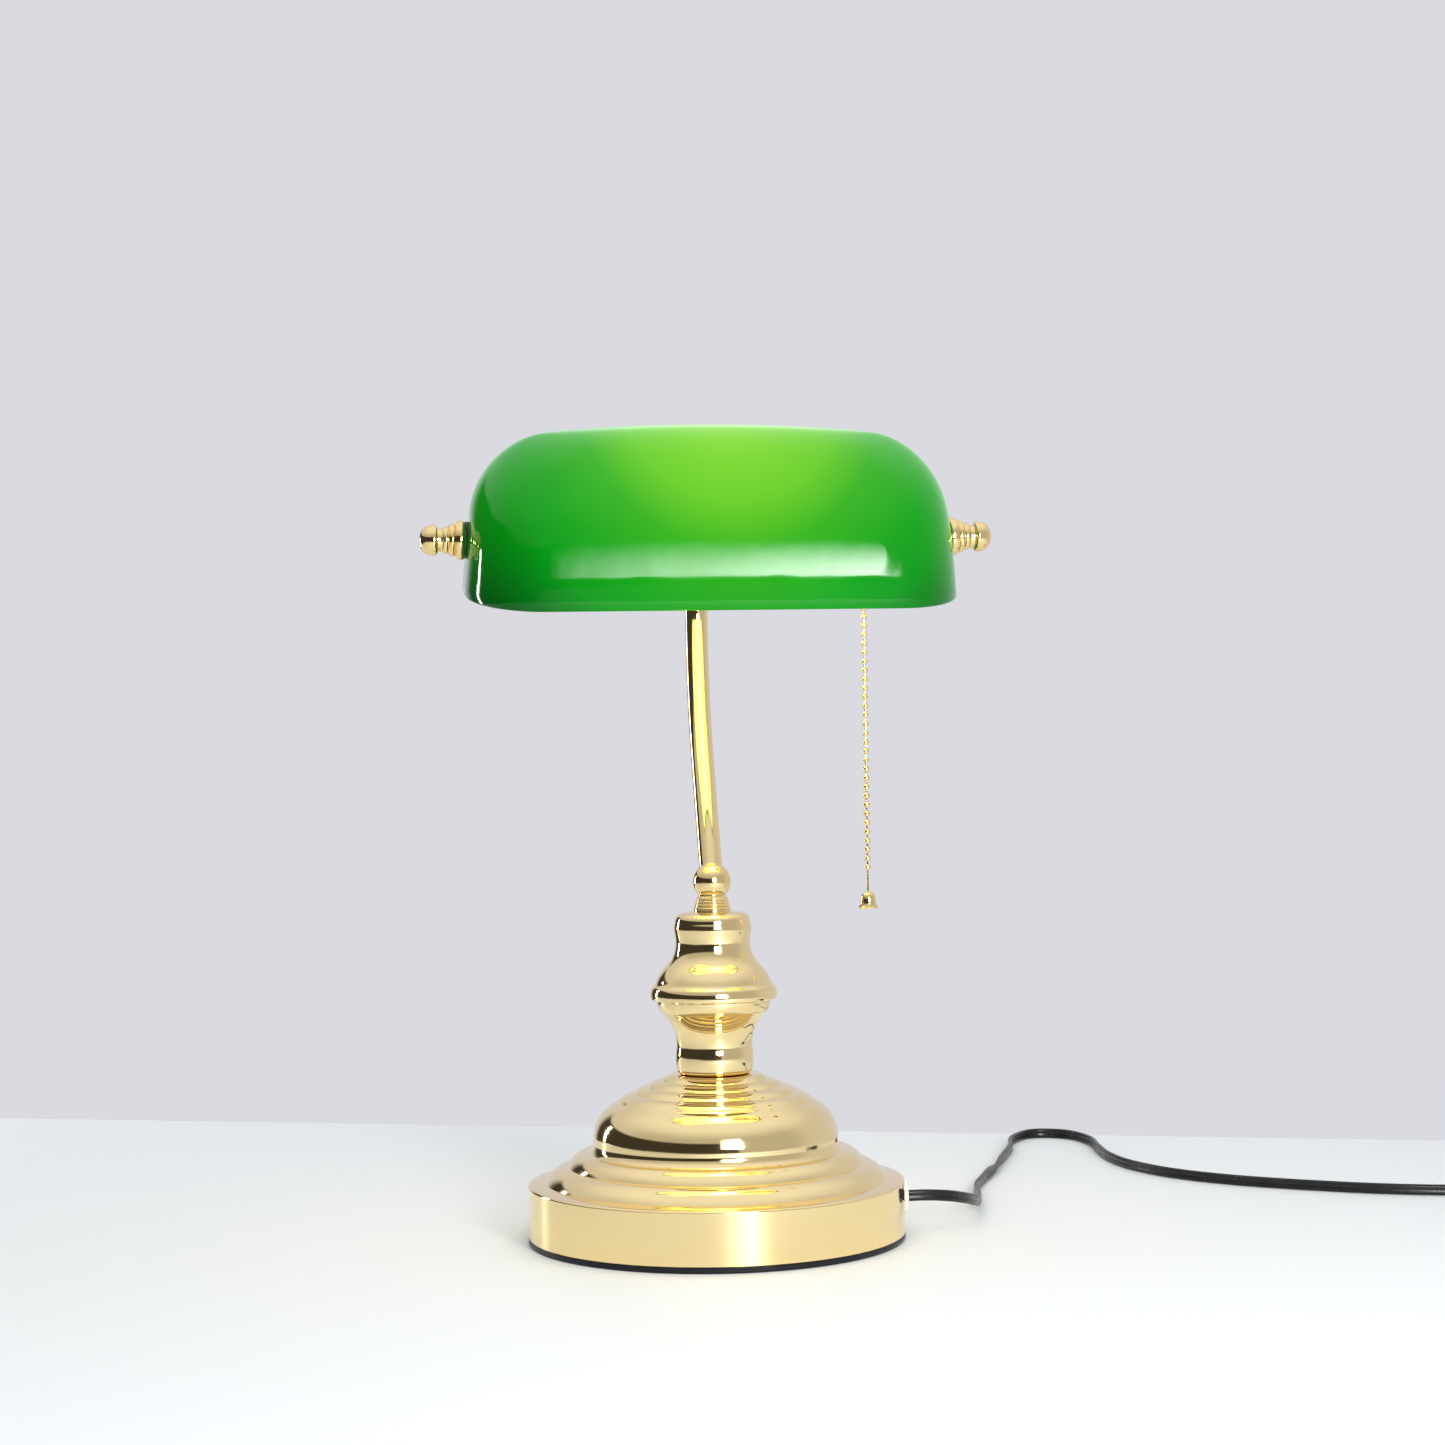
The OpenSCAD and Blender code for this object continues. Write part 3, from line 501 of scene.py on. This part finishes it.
def make_cord():
    """The mains cord in one piece, and softer edges on its plug."""
    path = catmull(LEAD_ROUTE + [tuple(p) for p in coil_points()] + TAIL_ROUTE, 3.5)
    bm = bmesh.new()
    sweep(bm, path, cord_outline(), twist)
    cord = piece_from(bm, "mains_cord", "frame", CORD_PVC, sharp=50)
    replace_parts(cord, "cord_lead", "cord_coil", "cord_tail")
    bevel = NODES["plug_body"].modifiers.new("soft_edges", "BEVEL")
    bevel.width, bevel.segments, bevel.limit_method = 1.1 * MM, 3, "ANGLE"


make_cord()

# ---------------------------------------------------------------- base and column
BASE_LINE = (
    [(BASE_R - 0.3, PAD_T + 0.2), (BASE_R, PAD_T + 0.5), (BASE_R, BAND_H - 1)]
    + arc((BASE_R - 1.2, BAND_H - 1.2), 1.2, 10, 80, 6)
    + [(BASE_R - 4, BAND_H + 0.3)]
    + bulge((BASE_R - 8, BAND_H + 0.9), (69.5, 35.6), 1.7, 14)
    + bulge((69.5, 35.6), (59.6, 42), 1.9, 14)
    + bulge((59.6, 42), (57.6, 46.2), -0.5, 6)
    + bulge((57.6, 46.2), (45.8, 65), 3.6, 26)
    + bulge((45.8, 65), (38.6, 68.8), 0.9)
    + bulge((38.6, 68.8), (31.6, 72), 0.8)
    + bulge((31.6, 72), (25, 74.8), 0.8)
    + bulge((25, 74.8), (19.2, COLUMN_Z), 0.7)
    + [(19.2, COLUMN_Z), (PIPE_R + 0.3, COLUMN_Z)])
LOWER_LINE = (
    [(PIPE_R + 0.3, COLUMN_Z)] + bulge((15.6, COLUMN_Z), (18.1, 80.6), 0.8, 8)
    + bulge((18.1, 80.6), (17.9, 90), 0.35) + bulge((17.9, 90), (25.2, 106.6), -2.2, 22)
    + bulge((25.2, 106.6), (26.9, 111.4), 0.3, 6) + [(26.9, 111.4), (26.9, 117.6)])
UPPER_LINE = (
    [(29.1, 112.5)] + bulge((29.7, 113), (28.9, 118.6), 0.5, 8)
    + bulge((28.9, 118.6), (27.2, 120.6), -0.2, 5)
    + bulge((27.2, 120.6), (22.4, 128), 0.5, 10) + bulge((22.4, 128), (17.6, 139), -1.2, 16)
    + bulge((17.6, 139), (18.3, 145), -0.1, 8) + bulge((18.3, 145), (17.8, 148.6), 0.2, 8)
    + arc((13.6, 148.8), 4.2, 0, 70, 9) + [(10, 153.7), (PIPE_R + 0.3, 153.7)])


def stand_in(name, node, line, body="frame", slot="polished_brass", material=BRASS, **how):
    """A turned piece that takes the place of a CAD node."""
    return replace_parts(lathe(name, line, body, slot, material, **how), node)


def make_column():
    """The turned pieces of the base and the column, up to the ball the stem stands in."""
    stand_in("spun_base", "base_shell", walled(BASE_LINE, BRASS_T), closed=True, segments=256, sharp=40)
    stand_in("rubber_pad", "base_pad",
             [(0, 0), (BASE_R - 0.6, 0), (BASE_R + 0.1, 0.7), (BASE_R + 0.1, PAD_T - 0.5),
              (BASE_R - 0.4, PAD_T), (0, PAD_T)], slot="pad_rubber", material=PAD, segments=192)
    stand_in("spun_column_lower", "column_lower", walled(LOWER_LINE, BRASS_T), closed=True, sharp=40)
    stand_in("spun_column_upper", "column_upper", walled(UPPER_LINE, BRASS_T), closed=True, sharp=40)
    ribs = [p for i in range(4) for p in bulge((8.5 - 0.42 * i, COLLAR_Z + 0.6 + 1.5 * i),
                                               (8.1 - 0.42 * i, COLLAR_Z + 2.1 + 1.5 * i), 0.42, 8)]
    ball = arc((0, BALL_Z), BALL_R, -42, 62, 26)
    stand_in("turned_collar", "stem_collar",
             [(0, COLLAR_Z), (8.7, COLLAR_Z)] + ribs + [(6.7, COLLAR_Z + 6.9), (6.6, COLLAR_Z + 7.8)] + ball
             + arc((0, BALL_Z), BALL_R, 64, 90, 8), slot="turned_brass", material=TURNED, sharp=50)


def stem_points(extra, step=1):
    """The middle of the stem: a straight run, a long bend and a short one."""
    bow = Vector((0, STEM_STRAIGHT * sin(STEM_LEAN) + STEM_BEND_R * (1 - cos(STEM_LEAN)),
                  BALL_Z + STEM_STRAIGHT * cos(STEM_LEAN) + STEM_BEND_R * sin(STEM_LEAN)))
    out = [Vector((0, d * sin(STEM_LEAN), BALL_Z + d * cos(STEM_LEAN)))
           for d in (STEM_START - extra, 20, 40)]
    out += [bow - STEM_BEND_R * Vector((0, 1 - cos(w), sin(w))) for w in range(STEM_LEAN, -1, -step)]
    out += [bow + STEM_HOOK_R * Vector((0, cos(w) - 1, sin(w))) for w in range(step, STEM_HOOK + 1, step)]
    last = STEM_INSERT + extra
    return out + [out[-1] + last * Vector((0, -sin(STEM_HOOK), cos(STEM_HOOK)))]


def make_stem(sides=48):
    """The bent tube, hollow, from the ball up to the hub inside the shade."""
    bm = bmesh.new()
    rings = []
    for radius in (STEM_R, STEM_R - STEM_WALL):
        path = stem_points(0)
        line = []
        for i, p in enumerate(path):
            across = Vector((1, 0, 0))
            side = tangent(path, i).cross(across)
            line.append([p + radius * (cos(360 * k / sides) * across + sin(360 * k / sides) * side)
                         for k in range(sides)])
        rings += line if radius == STEM_R else line[::-1]
    skin_rings(bm, rings, close=True)
    stem = piece_from(bm, "bent_stem", "frame", BRASS)
    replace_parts(stem, "stem_tube")


make_column()
make_stem()


# ---------------------------------------------------------------- shade
def to_shade():
    """From the shade's own frame, its pivot at the origin, to the lamp's."""
    return Matrix.Translation(AXIS) @ Matrix.Rotation(math.radians(SHADE_TILT), 4, "X")


def half_depth(z, b0, top, ry):
    """Half the depth of the glass at height z above its lower edge."""
    k = max(0, z - (top - ry)) / ry
    return b0 - ry * (1 - math.sqrt(max(0, 1 - k * k))) - z * SIDE_DRAFT


def glass_point(x, y, z):
    """A point of the glass, lifted by the arch of the roof."""
    arch = CROWN_H * (z / SIDE_H) ** 2 * (1 - (2 * x / SHADE_L) ** 2 - CROWN_ACROSS * (2 * y / SHADE_W) ** 2)
    return Vector((x, y, z - RIM_DROP + arch))


def glass_level(z, a, b, rx, ry, around=22, between=10):
    """A rectangle with elliptical corners, with points along its straight sides."""
    corners = [(1, 1, 0), (-1, 1, 90), (-1, -1, 180), (1, -1, 270)]
    flat = []
    for sx, sy, w0 in corners:
        for k in range(around):
            w = w0 + 90 * k / (around - 1)
            flat.append((sx * (a - rx) + rx * cos(w), sy * (b - ry) + ry * sin(w)))
    ring = []
    for i, (x, y) in enumerate(flat):
        ring.append(glass_point(x, y, z))
        if i % around == around - 1:
            nx, ny = flat[(i + 1) % len(flat)]
            ring += [glass_point(x + (nx - x) * k / between, y + (ny - y) * k / between, z)
                     for k in range(1, between)]
    return ring


def glass_rings(t):
    """Levels of the glass, set in by t, from its lower edge to the middle of its roof."""
    a0, b0, top, rx, ry = SHADE_L / 2 - t, SHADE_W / 2 - t, SIDE_H - t, CORNER_X - t, CORNER_Y - t
    px, py, wall = PLAN_X - t, PLAN_Y - t, top - rx
    slope = math.tan(math.radians(END_SLOPE))
    a1 = a0 - wall * slope
    flat_a, flat_b = a1 - rx, half_depth(top, b0, top, ry)
    rings = []
    for i in range(9):
        z = wall * i / 9
        rings.append(glass_level(z, a0 - z * slope, half_depth(z, b0, top, ry), px, py))
    for i in range(25):
        z = wall + rx * sin(90 * i / 24)
        b = half_depth(z, b0, top, ry)
        rings.append(glass_level(z, a1 - rx * (1 - cos(90 * i / 24)), b, px, min(py, b - 0.4)))
    for i in range(1, 12):
        k = 1 - i / 12
        rings.append(glass_level(top, flat_a * k, flat_b * k, px * k, (flat_b - 0.4) * k))
    return rings, glass_point(0, 0, top)


def glass_skin(bm, t):
    """One face of the glass, set in by t; returns its lowest ring."""
    rings, crown = glass_rings(t)
    made = skin_rings(bm, rings, caps=False)
    tip = bm.verts.new(crown)
    n = len(made[-1])
    for i in range(n):
        bm.faces.new((made[-1][i], made[-1][(i + 1) % n], tip))
    return made[0]


def make_shade():
    """Green glass outside and white opal inside, joined by a rounded ground edge."""
    bm = bmesh.new()
    outer = glass_skin(bm, 0)
    outer_faces = len(bm.faces)
    inner = glass_skin(bm, GLASS_T)
    inner_faces = len(bm.faces)
    n = len(outer)
    lip = []
    for k in (0.18, 0.5, 0.82):
        drop = UP * (-LIP_DROP * math.sqrt(1 - (2 * k - 1) ** 2))
        lip.append([bm.verts.new(outer[i].co.lerp(inner[i].co, k) + drop) for i in range(n)])
    loops = [outer] + lip + [inner]
    for a, b in zip(loops, loops[1:]):
        for i in range(n):
            bm.faces.new((a[i], b[i], b[(i + 1) % n], a[(i + 1) % n]))
    bm.faces.ensure_lookup_table()
    for i, f in enumerate(bm.faces):
        f.material_index = int(outer_faces <= i < inner_faces)
    bm.transform(to_shade())
    shade = piece_from(bm, "cased_glass", "shade", GREEN, sharp=60)
    shade.data.materials.append(OPAL)
    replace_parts(shade, "shade_glass")


make_shade()

KNOB_LINE = (
    [(0, 0)] + bulge((8.5, 0), (8.6, 4.1), 0.6, 12) + [(8.6, 4.1)]
    + bulge((7, 4.3), (6.9, 7.4), 0.65, 10)
    + bulge((6.1, 7.6), (5.9, 10.1), 0.45, 10) + [(5.5, 10.3), (5.4, 11.5), (5.6, 12.5)]
    + bulge((5.9, 12.6), (7.2, 13.8), 0.3, 8) + bulge((7.2, 13.8), (7.1, 15.3), 0.15, 6)
    + arc((1.3, 15), 5.8, 4, 84, 18) + [(0, 20.8)])


def make_knobs():
    """The two turned knobs, one at either end of the glass."""
    for side, name in ((-1, "left"), (1, "right")):
        place = (Matrix.Translation(AXIS + Vector((side * KNOB_FACE_X, 0, 0)))
                 @ Matrix.Rotation(math.radians(90 * side), 4, "Y"))
        stand_in(f"turned_knob_{name}", f"knob_{name}", KNOB_LINE, body=f"{name}_knob",
                 slot="turned_brass", material=TURNED, place=place, segments=96, sharp=45)


make_knobs()


# ---------------------------------------------------------------- pull chain
def bead_string(name, node, body, z_top, count, z_end):
    """Beads on a fine wire that reaches down to z_end."""
    bm = bmesh.new()
    for i in range(count):
        place = Matrix.Translation((CHAIN_X, AXIS.y, z_top - i * BEAD_PITCH))
        bmesh.ops.create_uvsphere(bm, u_segments=20, v_segments=12, radius=BEAD_R, matrix=place)
    place = Matrix.Translation((CHAIN_X, AXIS.y, (z_top + z_end) / 2))
    bmesh.ops.create_cone(bm, cap_ends=True, segments=12, radius1=0.45, radius2=0.45, depth=z_top - z_end,
                          matrix=place)
    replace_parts(piece_from(bm, name, body, TURNED), node)


def make_chain():
    """The bead chain in the three parts that move on their own, and its bell."""
    bead_string("bead_chain_top", "chain_top", "switch_pull", TOP_BEAD_Z, TOP_BEADS, UPPER_BEAD_Z + LINK_GAP)
    bead_string("bead_chain_upper", "chain_upper", "chain_swing", UPPER_BEAD_Z, UPPER_BEADS,
                LOWER_BEAD_Z + LINK_GAP)
    bead_string("bead_chain_lower", "chain_lower", "chain_end", LOWER_BEAD_Z, LOWER_BEADS, BELL_Z - 0.6)
    bell = ([(0.5, 0)] + bulge((1.5, 0), (3.3, -2.4), -0.35, 10) + bulge((3.3, -2.4), (3.7, -5.6), -0.15, 8)
            + [(3.7, -5.6), (4.75, -7.4), (4.6, -7.9), (4.2, -7.8), (3.1, -5.6), (2.7, -2.8), (0.5, -1.6)])
    stand_in("bell_pull", "chain_bell", bell, body="chain_end", slot="turned_brass", material=TURNED,
             place=Matrix.Translation((CHAIN_X, AXIS.y, BELL_Z)), segments=64, closed=True, sharp=45)


make_chain()


# ---------------------------------------------------------------- stage and light
def stage_material(name, color, roughness):
    """A plain matt surface."""
    s = Shader(name, color, roughness=roughness, Specular_IOR_Level=0.2)
    s.color_from(s.noise(3, 3), [(0.3, shade_color(color, 0.985)), (0.7, color)])
    s.bump(s.noise(400, 3), 0.03, 0.0003)
    return s.material


TABLE_SIZE, TABLE_TURN, TABLE_BACK = (2.6, 1.75, 0.03), 20, 0.35


def make_table():
    """A plain white table top; its upper face is at zero height."""
    bm = bmesh.new()
    bmesh.ops.create_cube(bm, size=1)
    bmesh.ops.scale(bm, vec=TABLE_SIZE, verts=bm.verts)
    bmesh.ops.translate(bm, vec=(0, TABLE_BACK - TABLE_SIZE[1] / 2, -TABLE_SIZE[2] / 2), verts=bm.verts)
    mesh = bpy.data.meshes.new("table_top")
    bm.to_mesh(mesh)
    bm.free()
    table = bpy.data.objects.new("table_top", mesh)
    table.rotation_euler = (0, 0, math.radians(-TABLE_TURN))
    mesh.materials.append(stage_material("table_white", (0.84, 0.87, 0.88), 0.5))
    bpy.context.collection.objects.link(table)


def area(name, place, target, size, power):
    """A rectangular light at place, facing target."""
    data = bpy.data.lights.new(name, "AREA")
    data.shape, data.size, data.size_y = "RECTANGLE", *size
    data.energy = power
    light = bpy.data.objects.new(name, data)
    light.location = place
    light.rotation_euler = (Vector(target) - Vector(place)).to_track_quat("-Z", "Y").to_euler()
    bpy.context.collection.objects.link(light)
    return light


# The studio's colours, and the two ends of each soft edge between them: bearings in radians from the camera's
# side, positive to its right; heights and depths as parts of a direction of length 1
NEAR_WALL, BACK_WALL, CEILING = (0.55, 0.55, 0.54), (0.70, 0.70, 0.745), (1.0, 1.02, 1.05)
DIM_ROOM = (0.05, 0.045, 0.04)
DIM_LEFT, DIM_RIGHT, DIM_FLOOR, DIM_TOP = (-2.75, -2.5), (0.385, 0.37), (-0.3, -0.2), (0.40, 0.33)
WALL_BLEND, CEILING_BLEND = (-0.3, 0.3), (0.45, 0.95)


def make_world():
    """A pale studio all round, with a dim stretch of room low down in front and to the left of the lamp."""
    world = bpy.data.worlds.new("studio")
    bpy.context.scene.world = world
    world.use_nodes = True
    tree = world.node_tree
    link = tree.links.new

    def node(kind, **values):
        return add_node(tree, kind, **values)

    def ramp(value, ends):
        made = node("MapRange", interpolation_type="SMOOTHSTEP")
        made.inputs["From Min"].default_value, made.inputs["From Max"].default_value = ends
        link(value, made.inputs["Value"])
        return made.outputs[0]

    def times(a, b):
        made = node("Math", operation="MULTIPLY")
        link(a, made.inputs[0])
        if isinstance(b, float):
            made.inputs[1].default_value = b
        else:
            link(b, made.inputs[1])
        return made.outputs[0]

    def mix(factor, a, b):
        made = node("Mix", data_type="RGBA")
        for key, value in (("A", a), ("B", b)):
            if isinstance(value, tuple):
                made.inputs[key].default_value = (*value, 1)
            else:
                link(value, made.inputs[key])
        link(factor, made.inputs["Factor"])
        return made.outputs["Result"]

    turned = node("Mapping")
    turned.inputs["Rotation"].default_value = (0, 0, math.radians(YAW))
    link(node("TexCoord").outputs["Generated"], turned.inputs["Vector"])
    parts = node("SeparateXYZ")
    link(turned.outputs[0], parts.inputs[0])
    x, y, z = parts.outputs
    angle = node("Math", operation="ARCTAN2")
    link(x, angle.inputs[0])
    link(times(y, -1.0), angle.inputs[1])
    bearing = angle.outputs[0]
    beside = times(ramp(bearing, DIM_LEFT), ramp(bearing, DIM_RIGHT))
    low = times(ramp(z, DIM_FLOOR), ramp(z, DIM_TOP))
    walls = mix(ramp(y, WALL_BLEND), NEAR_WALL, BACK_WALL)
    studio = mix(ramp(z, CEILING_BLEND), walls, CEILING)
    link(mix(times(beside, low), studio, DIM_ROOM), tree.nodes["Background"].inputs["Color"])


def fade(light, across, upward):
    """Lets an area light fade: across and upward are its brightness at either side, from 0 to 1."""
    light.data.use_nodes = True
    tree = light.data.node_tree
    parts = add_node(tree, "SeparateXYZ")
    tree.links.new(add_node(tree, "NewGeometry").outputs["Parametric"], parts.inputs[0])
    both = add_node(tree, "Math", operation="MULTIPLY")
    for i, (low, high) in enumerate((across, upward)):
        ramp = add_node(tree, "MapRange", interpolation_type="SMOOTHSTEP")
        ramp.inputs["To Min"].default_value, ramp.inputs["To Max"].default_value = low, high
        tree.links.new(parts.outputs[i], ramp.inputs["Value"])
        tree.links.new(ramp.outputs[0], both.inputs[i])
    tree.links.new(both.outputs[0], tree.nodes["Emission"].inputs["Strength"])


def make_lights():
    """A tall strip at the back left and a soft window in front, brightest low on the camera's right."""
    area("left_strip", (-0.98, 0.92, 0.26), (0, 0, 0.26), (0.08, 0.5), 2.5)
    window = area("front_window", (0.14, -1.09, 0.49), (0.14, 0, 0.49), (0.38, 0.58), 40)
    fade(window, (0.1, 1.0), (1.0, 0.0))


make_table()
make_world()
make_lights()
bpy.context.scene.view_settings.view_transform = "Standard"
